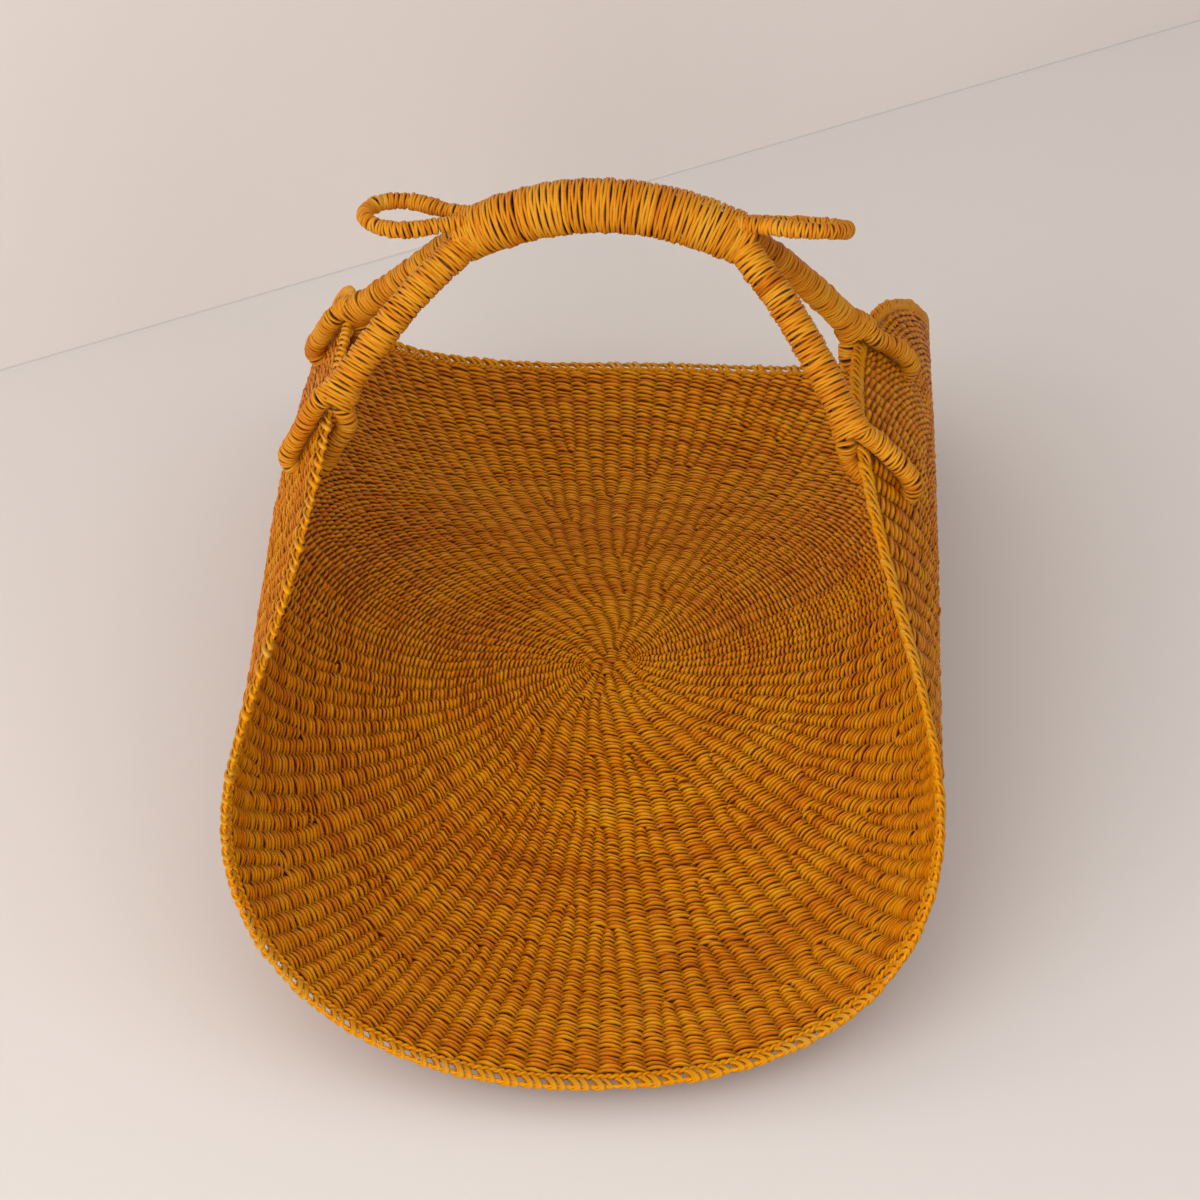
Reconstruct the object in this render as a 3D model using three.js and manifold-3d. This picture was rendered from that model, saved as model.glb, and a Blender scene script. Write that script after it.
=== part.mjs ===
// Gathering basket: a round mat twined from dyed elephant grass, bent up at the left and the right
// into an open trug, with a wrapped grass handle that stands on four feet looped round the rim.
//
// Millimetres. +Z is up, +Y runs from the open front to the open back, +X is to the right.
// The origin lies on the floor, in the middle of the basket's footprint.

import * as THREE from "three";
import { mergeVertices } from "three/addons/utils/BufferGeometryUtils.js";
import Module from "manifold-3d";

// The mat. Its flat radius is woven first, and the slopes say how it is bent afterwards: each list
// holds the angle to the floor, in degrees, at equal steps of arc from the middle to the edge.
const MAT_RADIUS = 320;
const MAT_THICKNESS = 6;
const RIGHT_SLOPES = [0, 7, 29, 68, 107, 143];
const LEFT_SLOPES = [0, 11, 33, 68, 112, 118];
const FRONT_SLOPES = [0, -12, -9, 2, 10, 6];
const BACK_SLOPES = [0, -6, -9.6, -7, 9, 8];
const MAT_MIDDLE = new THREE.Vector3(-1.9, -0.3, 27.3);
const MAT_RINGS = 12;
const MAT_RING_SPREAD = 0.7;
const MAT_SECTORS = 60;
const MAT_HUB = 0.02;
const REST_FLAT = 0;

// The braided edge, and the least room between two pieces.
const BRAID_RADIUS = 3.3;
const BRAID_SIDES = 8;
const GAP = 0.35;

// The grip. Its centre line is an arc from end to end, carried on a little past both, and its
// winding clears everything that runs inside it.
const GRIP_LEFT = new THREE.Vector3(-62, 0, 299);
const GRIP_TOP = new THREE.Vector3(6, 0, 315);
const GRIP_RIGHT = new THREE.Vector3(72, 0, 296);
const GRIP_OVERRUN = 0.18;
const GRIP_SPAN = 1 + 2 * GRIP_OVERRUN;
const GRIP_BARE = 5;
const GRIP_CORES = 11.1;
const GRIP_RADIUS = 13.8;
const TURN_ROOM = 1;
const BAND_BACK = 0.55;

// The two hoops, each a bundle of straw that is a leg, half of the grip and a leg again.
const FRONT_BUNDLE = 5.6;
const BACK_BUNDLE = 5.2;
const BUNDLE_GAP = 0.4;
const FRONT_SHIFT = 0.25;
const FRONT_LEG_RADIUS = 8.3;
const BACK_LEG_RADIUS = 7.6;
const LEG_BARE = 3;
const LEG_WOUND = 98;

// The feet. A thinner strand goes down inside the wall, through it, and up again outside. Angles
// are measured round the mat from its right side, and a hole's radius is a share of the mat's. A
// leg bows outwards by bow, and ends above the rim and a little outside it, by lean.
const FEET = {
  right_front: { side: 1, front: true, rim: -8.6, bow: 4.5, above: 9, lean: 4.5 },
  right_back: { side: 1, front: false, rim: 7.9, bow: 2.5, above: 7, lean: 5 },
  left_front: { side: -1, front: true, rim: 187.2, bow: 4, above: 9, lean: 1.5 },
  left_back: { side: -1, front: false, rim: 172.4, bow: -1, above: 7, lean: 1 },
};
const HOLES = {
  right_front: { degrees: -10.8, radius: 0.9 },
  right_back: { degrees: 11, radius: 0.9 },
  left_front: { degrees: 188, radius: 0.88 },
  left_back: { degrees: 168.6, radius: 0.9 },
};
const STRAND_BUNDLE = 2.5;
const STRAND_RADIUS = 5.4;
const STRAND_STAND_OFF = 9.2;
const STRAND_SHIFT = 0.9;
const STRAND_SLACK = 1.2;
const STRAND_ROOM = 2.4;
const STRAND_BARE = 10;
const HOLE_RADIUS = 8;
const HOLE_SHIFT = 1.8;
const HOLE_LENGTH = 40;

// The ears. Their bundle is one long ring: two runs along the top of the grip, joined past each
// end by a loop with this tip and half width; lean is how far, in degrees, its back run hangs down.
const EARS = {
  left: { side: -1, tip: new THREE.Vector3(-116, 6, 307), halfWidth: 14, lean: 0 },
  right: { side: 1, tip: new THREE.Vector3(125, 0, 301), halfWidth: 13, lean: -24 },
};
const EAR_BUNDLE = 1.7;
const EAR_RADIUS = 4.1;
const EAR_RISE = 8.5;
const EAR_HALF_GAP = 2.7;
const EAR_BARE = 8;
const EAR_SLACK = 0.5;
const EAR_ROOM = 1.4;

const GRASS = { grip: 0xb97c1f, leg: 0xbd8022, mat: 0xab6e17, braid: 0xb77b26, core: 0x9a6a2a };

const wasm = await Module();
wasm.setup();

const radians = THREE.MathUtils.degToRad;

// A natural cubic spline through values at equal steps of 0 to 1.
function naturalSpline(values) {
  const n = values.length - 1;
  const step = 1 / n;
  const bend = new Array(n + 1).fill(0);
  const upper = new Array(n + 1).fill(0);
  for (let i = 1; i < n; i += 1) {
    const jump = (6 * (values[i + 1] - 2 * values[i] + values[i - 1])) / (step * step);
    const pivot = 4 - upper[i - 1];
    upper[i] = 1 / pivot;
    bend[i] = (jump - bend[i - 1]) / pivot;
  }
  for (let i = n - 1; i > 0; i -= 1) {
    bend[i] -= upper[i] * bend[i + 1];
  }
  return (s) => {
    const i = Math.min(Math.floor(s / step), n - 1);
    const right = s / step - i;
    const left = 1 - right;
    const cubic = (left ** 3 - left) * bend[i] + (right ** 3 - right) * bend[i + 1];
    return left * values[i] + right * values[i + 1] + (cubic * step * step) / 6;
  };
}

// Walks along one half section and keeps how far it has run and risen, as shares of the radius.
function bentHalf(slopes) {
  const slopeAt = naturalSpline(slopes.map(radians));
  const steps = 240;
  const table = [[0, 0]];
  for (let i = 0; i < steps; i += 1) {
    const slope = slopeAt((i + 0.5) / steps);
    const [run, rise] = table[i];
    table.push([run + Math.cos(slope) / steps, rise + Math.sin(slope) / steps]);
  }
  return (s) => {
    const at = s * steps;
    const i = Math.min(Math.floor(at), steps - 1);
    const share = at - i;
    return [0, 1].map((k) => table[i][k] + share * (table[i + 1][k] - table[i][k]));
  };
}

const rightHalf = bentHalf(RIGHT_SLOPES);
const leftHalf = bentHalf(LEFT_SLOPES);
const frontHalf = bentHalf(FRONT_SLOPES);
const backHalf = bentHalf(BACK_SLOPES);

// The mat's middle surface. across and along are places on the flat mat, as shares of its radius.
function matPoint(across, along) {
  const [runX, riseX] = (across < 0 ? leftHalf : rightHalf)(Math.abs(across));
  const [runY, riseY] = (along < 0 ? frontHalf : backHalf)(Math.abs(along));
  return new THREE.Vector3(Math.sign(across) * runX, Math.sign(along) * runY, riseX + riseY)
    .multiplyScalar(MAT_RADIUS)
    .add(MAT_MIDDLE);
}

// The direction out of the mat towards the inside of the basket.
function matNormal(across, along) {
  const d = 0.004;
  const alongX = matPoint(across + d, along).sub(matPoint(across - d, along));
  const alongY = matPoint(across, along + d).sub(matPoint(across, along - d));
  return alongX.cross(alongY).normalize();
}

// A point by radius share and angle in degrees, raised off the middle surface towards the inside.
// Past the edge the mat is carried on straight.
function matPolar(radius, degrees, raise) {
  const across = Math.cos(radians(degrees));
  const along = Math.sin(radians(degrees));
  const edge = Math.min(radius, 1);
  const point = matPoint(across * edge, along * edge);
  if (radius > 1) {
    const inner = matPoint(across * 0.98, along * 0.98);
    point.addScaledVector(point.clone().sub(inner), (radius - 1) / 0.02);
  }
  const normal = matNormal(across * edge, along * edge);
  return point.addScaledVector(normal, raise);
}

// Skins a row of rings, each with the same number of points, and closes it: end on start where it
// is a hoop, and with a fan over each end otherwise.
function loft(rings, hoop) {
  const sides = rings[0].length;
  const points = rings.flat();
  const index = [];
  const last = hoop ? rings.length : rings.length - 1;
  for (let i = 0; i < last; i += 1) {
    const next = (i + 1) % rings.length;
    for (let k = 0; k < sides; k += 1) {
      const a = i * sides + k;
      const b = i * sides + ((k + 1) % sides);
      const c = next * sides + k;
      const d = next * sides + ((k + 1) % sides);
      index.push(a, b, c, b, d, c);
    }
  }
  if (!hoop) {
    for (const [ring, flip] of [[0, true], [rings.length - 1, false]]) {
      const middle = rings[ring].reduce((sum, p) => sum.add(p), new THREE.Vector3());
      points.push(middle.divideScalar(sides));
      for (let k = 0; k < sides; k += 1) {
        const a = ring * sides + k;
        const b = ring * sides + ((k + 1) % sides);
        index.push(...(flip ? [b, a, points.length - 1] : [a, b, points.length - 1]));
      }
    }
  }
  const geometry = new THREE.BufferGeometry().setFromPoints(points);
  geometry.setIndex(index);
  return geometry;
}

// Turns a closed mesh into a solid for cutting and joining, and back.
function toSolid(geometry) {
  const bare = geometry.clone();
  bare.deleteAttribute("normal");
  bare.deleteAttribute("uv");
  const merged = mergeVertices(bare, 1e-4);
  const mesh = new wasm.Mesh({
    numProp: 3,
    vertProperties: new Float32Array(merged.attributes.position.array),
    triVerts: new Uint32Array(merged.index.array),
  });
  mesh.merge();
  return new wasm.Manifold(mesh);
}

function fromSolid(solid) {
  const mesh = solid.getMesh();
  const geometry = new THREE.BufferGeometry();
  geometry.setAttribute("position", new THREE.BufferAttribute(mesh.vertProperties, 3));
  geometry.setIndex(new THREE.BufferAttribute(mesh.triVerts, 1));
  return geometry;
}

// A round bar along a curve, with flat ends.
function bar(curve, radius, sides, steps) {
  const outline = [];
  for (let k = 0; k < sides; k += 1) {
    const angle = (2 * Math.PI * k) / sides;
    outline.push(new THREE.Vector2(radius * Math.cos(angle), radius * Math.sin(angle)));
  }
  const options = { steps, bevelEnabled: false, extrudePath: curve };
  return new THREE.ExtrudeGeometry(new THREE.Shape(outline), options);
}

// The grip's centre line, an arc through its two ends and its top, by the distance along it.
const gripLine = new THREE.CatmullRomCurve3(
  [-GRIP_OVERRUN, 0, 0.25, 0.5, 0.75, 1, 1 + GRIP_OVERRUN].map((share) => {
    const x = THREE.MathUtils.lerp(GRIP_LEFT.x, GRIP_RIGHT.x, share);
    const chord = THREE.MathUtils.lerp(GRIP_LEFT.z, GRIP_RIGHT.z, share);
    const rise = GRIP_TOP.z - (GRIP_LEFT.z + GRIP_RIGHT.z) / 2;
    return new THREE.Vector3(x, 0, chord + rise * (1 - (2 * share - 1) ** 2));
  })
);

// Where each leg leaves the grip and where it ends, and the way it bows between the two.
for (const [name, foot] of Object.entries(FEET)) {
  const sign = foot.front ? -1 : 1;
  const grip = foot.side < 0 ? GRIP_LEFT : GRIP_RIGHT;
  const apart = foot.front ? FRONT_BUNDLE - FRONT_SHIFT : BACK_BUNDLE + FRONT_SHIFT + BUNDLE_GAP;
  foot.top = grip.clone().add(new THREE.Vector3(0, sign * apart, 0));
  foot.hole = HOLES[name];
  foot.end = matPolar(1 + foot.above / MAT_RADIUS, foot.rim, -foot.lean);
  const down = foot.end.clone().sub(foot.top);
  const out = new THREE.Vector3(foot.side * 0.6, 0, 0.8);
  const at = (share, bow) =>
    foot.top.clone().addScaledVector(down, share).addScaledVector(out, bow * foot.bow);
  foot.path = [at(0.1, 0.3), at(0.25, 0.75), at(0.45, 1), at(0.7, 0.8), foot.end];
}

// A point on the grip's centre line by its share of the way from end to end.
function gripPoint(share) {
  return gripLine.getPoint((share + GRIP_OVERRUN) / GRIP_SPAN);
}

// A hoop is one long bundle: up a left leg, along the grip and down a right leg.
function hoopCurve(front) {
  const left = front ? FEET.left_front : FEET.left_back;
  const right = front ? FEET.right_front : FEET.right_back;
  const y = left.top.y;
  const along = [0.01, 0.06, 0.35, 0.65, 0.94, 0.99].map((share) => {
    return gripPoint(share).setY(y);
  });
  const points = [...left.path.slice().reverse(), ...along, ...right.path];
  return new THREE.CatmullRomCurve3(points, false, "centripetal");
}

// A foot's strand leaves the leg's end, passes inside the rim, turns through the wall and comes
// back up outside to the leg's end.
function strandCurve(foot) {
  const hole = foot.hole;
  const centre = hole.radius + STRAND_STAND_OFF / MAT_RADIUS;
  const wallAt = (radius) => {
    const share = (radius - hole.radius) / (1 - hole.radius);
    return THREE.MathUtils.lerp(hole.degrees, foot.rim, Math.min(share, 1));
  };
  const run = (radius, sign) =>
    matPolar(radius, wallAt(radius), STRAND_SHIFT + sign * STRAND_STAND_OFF);
  const middle = matPolar(centre, wallAt(centre), STRAND_SHIFT);
  const inward = matPolar(centre, wallAt(centre), STRAND_SHIFT + 1).sub(middle);
  const down = matPolar(hole.radius, hole.degrees, 0).sub(middle).normalize();
  const bend = [-60, -30, 0, 30, 60].map((degrees) =>
    middle
      .clone()
      .addScaledVector(inward, -STRAND_STAND_OFF * Math.sin(radians(degrees)))
      .addScaledVector(down, STRAND_STAND_OFF * Math.cos(radians(degrees)))
  );
  const half = (centre + 1) / 2;
  const inside = [run(1.01, 1), run(half, 1), run(centre, 1)];
  const outside = [run(centre, -1), run(half, -1), run(1.01, -1)];
  const points = [foot.end, ...inside, ...bend, ...outside, foot.end];
  return new THREE.CatmullRomCurve3(points, false, "centripetal");
}

// One ear's loop, from its root round the tip and back.
function earHalf(ear) {
  const grip = ear.side < 0 ? GRIP_LEFT : GRIP_RIGHT;
  const root = new THREE.Vector3(grip.x + ear.side * 2, 0, grip.z + EAR_RISE);
  const width = new THREE.Vector3(0, Math.cos(radians(ear.lean)), Math.sin(radians(ear.lean)));
  const length = Math.abs(ear.tip.x - root.x);
  const at = (share, half) => {
    const point = root.clone().lerp(ear.tip, share);
    return point.addScaledVector(width, half);
  };
  const round = 1 - ear.halfWidth / length;
  const wide = ear.halfWidth;
  const middle = (1 + round) / 2;
  const side = (sign) => [
    at(0.22, sign * wide * 0.52),
    at(0.5, sign * wide * 0.95),
    at(round, sign * wide),
    at(middle + 0.1 * (1 - middle), sign * wide * 0.78),
  ];
  return [...side(1), at(1, 0), ...side(-1).reverse()];
}

function earRing() {
  const run = (sign) =>
    [0.06, 0.35, 0.65, 0.94].map((share) =>
      gripPoint(share).add(new THREE.Vector3(0, sign * EAR_HALF_GAP, EAR_RISE))
    );
  const points = [
    ...run(1),
    ...earHalf(EARS.right),
    ...run(-1).reverse(),
    ...earHalf(EARS.left).reverse(),
  ];
  return new THREE.CatmullRomCurve3(points, true, "centripetal");
}

// Samples a curve evenly, with a frame at each place that turns as little as it can.
function framedCurve(curve, steps) {
  curve.arcLengthDivisions = 400;
  curve.updateArcLengths();
  const frames = curve.computeFrenetFrames(steps, false);
  const points = curve.getSpacedPoints(steps);
  const length = curve.getLength();
  return {
    length,
    at: (distance, angle, radius) => {
      const where = THREE.MathUtils.clamp(distance / length, 0, 1) * steps;
      const i = Math.min(Math.floor(where), steps - 1);
      const share = where - i;
      const blend = (list) => list[i].clone().lerp(list[i + 1], share);
      return blend(points)
        .addScaledVector(blend(frames.normals).normalize(), radius * Math.cos(angle))
        .addScaledVector(blend(frames.binormals).normalize(), radius * Math.sin(angle));
    },
  };
}

// One strand wound round a bar in unbroken turns. Its section is a flat band with a rounded back:
// the band's edges are set by distance along the bar, so that a turn stays clear of the next one
// on the inside of a bend as well. Both ends run on straight for one band's thickness.
function winding(name, framed, from, to, { turns, steps, inner, outer, room }) {
  const half = ((to - from) / turns - room) / 2;
  const section = [
    [-half, inner],
    [half, inner],
    [half * BAND_BACK, outer],
    [-half * BAND_BACK, outer],
  ];
  const rings = [];
  for (let i = 0; i <= turns * steps; i += 1) {
    const middle = from + half + ((to - from - 2 * half) * i) / (turns * steps);
    const angle = (2 * Math.PI * i) / steps;
    rings.push(section.map(([shift, radius]) => framed.at(middle + shift, angle, radius)));
  }
  const straightOn = (ring, before) => {
    const heading = ring[0].clone().sub(before[0]).normalize();
    return ring.map((point) => point.clone().addScaledVector(heading, outer - inner));
  };
  const start = straightOn(rings[0], rings[1]);
  const end = straightOn(rings[rings.length - 1], rings[rings.length - 2]);
  const whole = [start, ...rings, end];
  console.log(`${name}: ${turns} turns, least gap to itself ${leastGap(whole, steps)} mm`);
  return loft(whole, false);
}

// The least distance between points of a winding that lie half a turn or more apart.
function leastGap(rings, steps) {
  let least = Infinity;
  for (let i = 0; i < rings.length; i += 1) {
    const stop = Math.min(rings.length, i + 2 * steps + 2);
    for (let j = i + Math.ceil(steps / 2); j < stop; j += 1) {
      for (const here of rings[i]) {
        for (const there of rings[j]) {
          least = Math.min(least, here.distanceTo(there));
        }
      }
    }
  }
  return least.toFixed(2);
}

const basket = new THREE.Group();

function add(name, geometry, colour, roughness) {
  const material = new THREE.MeshStandardMaterial({ color: colour, roughness, metalness: 0 });
  const mesh = new THREE.Mesh(geometry, material);
  mesh.name = name;
  basket.add(mesh);
}

// The woven body: the mat's inner face out to the edge and its outer face back to the middle.
function wovenBody() {
  const edge = 1 - (BRAID_RADIUS + GAP) / MAT_RADIUS;
  const radii = [];
  for (let i = 0; i <= MAT_RINGS; i += 1) {
    radii.push(MAT_HUB + (edge - MAT_HUB) * (i / MAT_RINGS) ** MAT_RING_SPREAD);
  }
  const ring = (radius, raise) => {
    const points = [];
    for (let k = 0; k < MAT_SECTORS; k += 1) {
      points.push(matPolar(radius, (360 * k) / MAT_SECTORS, raise));
    }
    return points;
  };
  const outerFace = radii.map((radius) => ring(radius, -MAT_THICKNESS / 2));
  const innerFace = radii.map((radius) => ring(radius, MAT_THICKNESS / 2));
  let body = toSolid(loft([...outerFace, ...innerFace.reverse()], false));
  for (const foot of Object.values(FEET)) {
    const radius = foot.hole.radius + HOLE_SHIFT / MAT_RADIUS;
    const centre = matPolar(radius, foot.hole.degrees, 0);
    const normal = matPolar(radius, foot.hole.degrees, 1).sub(centre);
    const hole = new THREE.CylinderGeometry(HOLE_RADIUS, HOLE_RADIUS, HOLE_LENGTH, 12);
    hole.applyQuaternion(
      new THREE.Quaternion().setFromUnitVectors(new THREE.Vector3(0, 1, 0), normal.normalize())
    );
    hole.translate(centre.x, centre.y, centre.z);
    body = body.subtract(toSolid(hole));
  }
  const under = new THREE.BoxGeometry(2 * MAT_RADIUS, 2 * MAT_RADIUS, MAT_RADIUS);
  under.translate(0, 0, REST_FLAT - MAT_RADIUS / 2);
  return fromSolid(body.subtract(toSolid(under)));
}

function rimBraid() {
  const rings = [];
  for (let k = 0; k < MAT_SECTORS; k += 1) {
    const degrees = (360 * k) / MAT_SECTORS;
    const centre = matPolar(1, degrees, 0);
    const up = matPolar(1, degrees, 1).sub(centre);
    const outward = centre.clone().sub(matPolar(0.99, degrees, 0)).normalize();
    const ring = [];
    for (let side = 0; side < BRAID_SIDES; side += 1) {
      const angle = (-2 * Math.PI * (side + 0.5)) / BRAID_SIDES;
      ring.push(
        centre
          .clone()
          .addScaledVector(outward, BRAID_RADIUS * Math.cos(angle))
          .addScaledVector(up, BRAID_RADIUS * Math.sin(angle))
      );
    }
    rings.push(ring);
  }
  return loft(rings, true);
}

// A hoop's core with the four ends of its two feet grown into its legs.
function hoopCore(front) {
  const radius = front ? FRONT_BUNDLE : BACK_BUNDLE;
  const feet = Object.values(FEET).filter((foot) => foot.front === front);
  let core = toSolid(bar(hoopCurve(front), radius, 8, 38));
  for (const foot of feet) {
    core = core.add(toSolid(bar(strandCurve(foot), STRAND_BUNDLE, 6, 26)));
  }
  return fromSolid(core);
}

// The inner radius of a winding that clears a round core all the way round its straight steps.
function clearOf(radius, steps) {
  return (radius + GAP) / Math.cos(Math.PI / steps);
}

// The grip is wound over both hoops and both runs of the ears' bundle.
function gripWinding() {
  const framed = framedCurve(gripLine, 60);
  const from = (GRIP_OVERRUN / GRIP_SPAN) * framed.length + GRIP_BARE;
  const inner = clearOf(GRIP_CORES, 8);
  const options = { turns: 24, steps: 8, inner, outer: GRIP_RADIUS, room: TURN_ROOM };
  return winding("grip_winding", framed, from, framed.length - from, options);
}

// Each ear is wound from just past the grip's end round its loop and back.
function earWinding(name, ear) {
  const framed = framedCurve(earRing(), 200);
  const start = (ear.side < 0 ? GRIP_LEFT : GRIP_RIGHT).x + ear.side * EAR_BARE;
  const outside = (distance) => (framed.at(distance, 0, 0).x - start) * ear.side > 0;
  let from = 0;
  while (!outside(from)) {
    from += 0.5;
  }
  let to = from;
  while (outside(to)) {
    to += 0.5;
  }
  const inner = clearOf(EAR_BUNDLE, 6) + EAR_SLACK;
  const options = { turns: 14, steps: 6, inner, outer: EAR_RADIUS, room: EAR_ROOM };
  return winding(name, framed, from, to, options);
}

// Each leg is wound from where the two legs part to just above the split of its foot.
function legWinding(name, foot) {
  const framed = framedCurve(hoopCurve(foot.front), 160);
  const near = LEG_BARE;
  const far = LEG_BARE + LEG_WOUND;
  const [from, to] = foot.side < 0 ? [near, far] : [framed.length - far, framed.length - near];
  const inner = clearOf(foot.front ? FRONT_BUNDLE : BACK_BUNDLE, 8);
  const outer = foot.front ? FRONT_LEG_RADIUS : BACK_LEG_RADIUS;
  return winding(name, framed, from, to, { turns: 13, steps: 8, inner, outer, room: TURN_ROOM });
}

// Each foot's strand is wound all the way down, through the wall and up again.
function footWinding(name, foot) {
  const framed = framedCurve(strandCurve(foot), 80);
  const inner = clearOf(STRAND_BUNDLE, 8) + STRAND_SLACK;
  const options = { turns: 9, steps: 8, inner, outer: STRAND_RADIUS, room: STRAND_ROOM };
  return winding(name, framed, STRAND_BARE, framed.length - STRAND_BARE, options);
}

add("woven_body", wovenBody(), GRASS.mat, 0.75);
add("rim_braid", rimBraid(), GRASS.braid, 0.7);
add("front_hoop_core", hoopCore(true), GRASS.core, 0.85);
add("back_hoop_core", hoopCore(false), GRASS.core, 0.85);
add("ear_loop_core", bar(earRing(), EAR_BUNDLE, 6, 60), GRASS.core, 0.85);
add("grip_winding", gripWinding(), GRASS.grip, 0.65);
for (const [name, ear] of Object.entries(EARS)) {
  add(`${name}_ear_winding`, earWinding(`${name}_ear_winding`, ear), GRASS.leg, 0.65);
}
for (const [name, foot] of Object.entries(FEET)) {
  add(`${name}_leg_winding`, legWinding(`${name}_leg_winding`, foot), GRASS.leg, 0.65);
  add(`${name}_foot_winding`, footWinding(`${name}_foot_winding`, foot), GRASS.leg, 0.65);
}

export default basket;
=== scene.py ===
# %% [markdown]
# # A gathering basket of twined grass
#
# The real basket is one round mat of dyed elephant grass. Two straws at a time are twisted round
# each other and round a fan of stiff stakes, row after row, from the middle out to the edge. The
# mat is then wetted and bent up at the left and the right, and a wrapped handle is looped through
# it. This lesson makes every one of those straws as a thin tube that follows a formula.

# %% The frame of measured parts
import math

import bpy
import numpy as np
from mathutils import Matrix, Vector


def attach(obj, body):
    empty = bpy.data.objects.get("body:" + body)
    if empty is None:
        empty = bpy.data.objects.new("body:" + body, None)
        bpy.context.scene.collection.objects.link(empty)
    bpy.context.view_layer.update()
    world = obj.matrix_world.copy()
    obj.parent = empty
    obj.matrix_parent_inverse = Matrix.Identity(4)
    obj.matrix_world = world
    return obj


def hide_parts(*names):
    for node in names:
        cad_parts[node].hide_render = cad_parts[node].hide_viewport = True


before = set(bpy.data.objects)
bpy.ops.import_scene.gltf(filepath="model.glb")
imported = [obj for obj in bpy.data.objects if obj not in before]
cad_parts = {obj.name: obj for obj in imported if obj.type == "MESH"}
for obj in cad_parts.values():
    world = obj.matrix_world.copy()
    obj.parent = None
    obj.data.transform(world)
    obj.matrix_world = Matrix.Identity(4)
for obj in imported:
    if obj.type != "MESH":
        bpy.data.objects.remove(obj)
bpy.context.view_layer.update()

MM = 0.001
rng = np.random.default_rng(20)

# %% [markdown]
# ## The camera
#
# The photograph was taken with a long lens from about 1.9 m, looking down at 36 degrees and a
# little from the right. Setting the matrix from three axes is safer here than turning the camera
# by hand, because the roll of two and a half degrees is part of the picture.

# %% Camera
MAT_MIDDLE = np.array([-1.9, -0.3, 27.3])
YAW, LIFT, ROLL = (math.radians(a) for a in (4.83, 36.40, -2.48))
DISTANCE = 1882.0
LENS, SENSOR = 104.56, 36.0
TARGET = MAT_MIDDLE + (-4.0, 3.9, 41.1)

back = Vector((math.sin(YAW) * math.cos(LIFT), -math.cos(YAW) * math.cos(LIFT), math.sin(LIFT)))
level = (-back).cross(Vector((0, 0, 1))).normalized()
upright = level.cross(-back)
right = math.cos(ROLL) * level + math.sin(ROLL) * upright
up = math.cos(ROLL) * upright - math.sin(ROLL) * level

camera = bpy.data.objects.new("camera", bpy.data.cameras.new("camera"))
camera.data.lens, camera.data.sensor_width = LENS, SENSOR
camera.data.clip_start, camera.data.clip_end = 0.1, 50
camera.matrix_world = Matrix.Translation(Vector(TARGET * MM) + back * DISTANCE * MM) @ Matrix(
    (right, up, back)
).transposed().to_4x4()
bpy.context.scene.collection.objects.link(camera)
bpy.context.scene.camera = camera
print("the camera stands at", [round(v, 3) for v in camera.location])

# %% [markdown]
# ## The bent mat
#
# The mat is a disc, so a place on it has two coordinates: across (left to right) and along (front
# to back), both as shares of its radius. Bending it keeps lengths along the mat, so the height and
# the run come from adding up the sine and cosine of the slope, step by step. A smooth curve
# through six slopes (in degrees) each way is enough to match the real basket's walls and lips.

# %% Slopes and the bent surface
MAT_RADIUS = 320.0
SLOPES = {
    "right": [0, 7, 29, 68, 107, 143],
    "left": [0, 11, 33, 68, 112, 118],
    "front": [0, -12, -9, 2, 10, 6],
    "back": [0, -6, -9.6, -7, 9, 8],
}


def natural_spline(values):
    """A smooth curve through values at equal steps of 0 to 1: the second derivatives m solve
    m[i-1] + 4 m[i] + m[i+1] = 6 (v[i+1] - 2 v[i] + v[i-1]) / step^2, and are 0 at both ends."""
    values = np.asarray(values, float)
    n = len(values) - 1
    step = 1 / n
    matrix = np.eye(n + 1)
    for i in range(1, n):
        matrix[i, i - 1 : i + 2] = 1, 4, 1
    jump = np.zeros(n + 1)
    jump[1:-1] = 6 * (values[2:] - 2 * values[1:-1] + values[:-2]) / step**2
    bend = np.linalg.solve(matrix, jump)

    def at(s):
        """The curve at places s, from 0 to 1."""
        s = np.clip(s, 0, 1)
        i = np.minimum((s / step).astype(int), n - 1)
        b = s / step - i
        a = 1 - b
        cubic = (a**3 - a) * bend[i] + (b**3 - b) * bend[i + 1]
        return a * values[i] + b * values[i + 1] + cubic * step**2 / 6

    return at


REACH, FINE = 1.08, 4321


def bent_line(negative, positive):
    """Tables of place, run, rise and slope along one middle line of the mat: run adds up the
    cosine of the slope and rise adds up its sine, outwards from the middle both ways."""
    place = np.linspace(-REACH, REACH, FINE)
    low, high = (natural_spline(np.radians(SLOPES[side])) for side in (negative, positive))
    slope = np.where(place < 0, -low(-place), high(place))
    middle = (slope[1:] + slope[:-1]) / 2
    step = place[1] - place[0]
    run = np.concatenate([[0], np.cumsum(np.cos(middle)) * step])
    rise = np.concatenate([[0], np.cumsum(np.sin(middle)) * step])
    centre = FINE // 2
    return place, run - run[centre], rise - rise[centre], slope


LINE_ACROSS = bent_line("left", "right")
LINE_ALONG = bent_line("front", "back")


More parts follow.
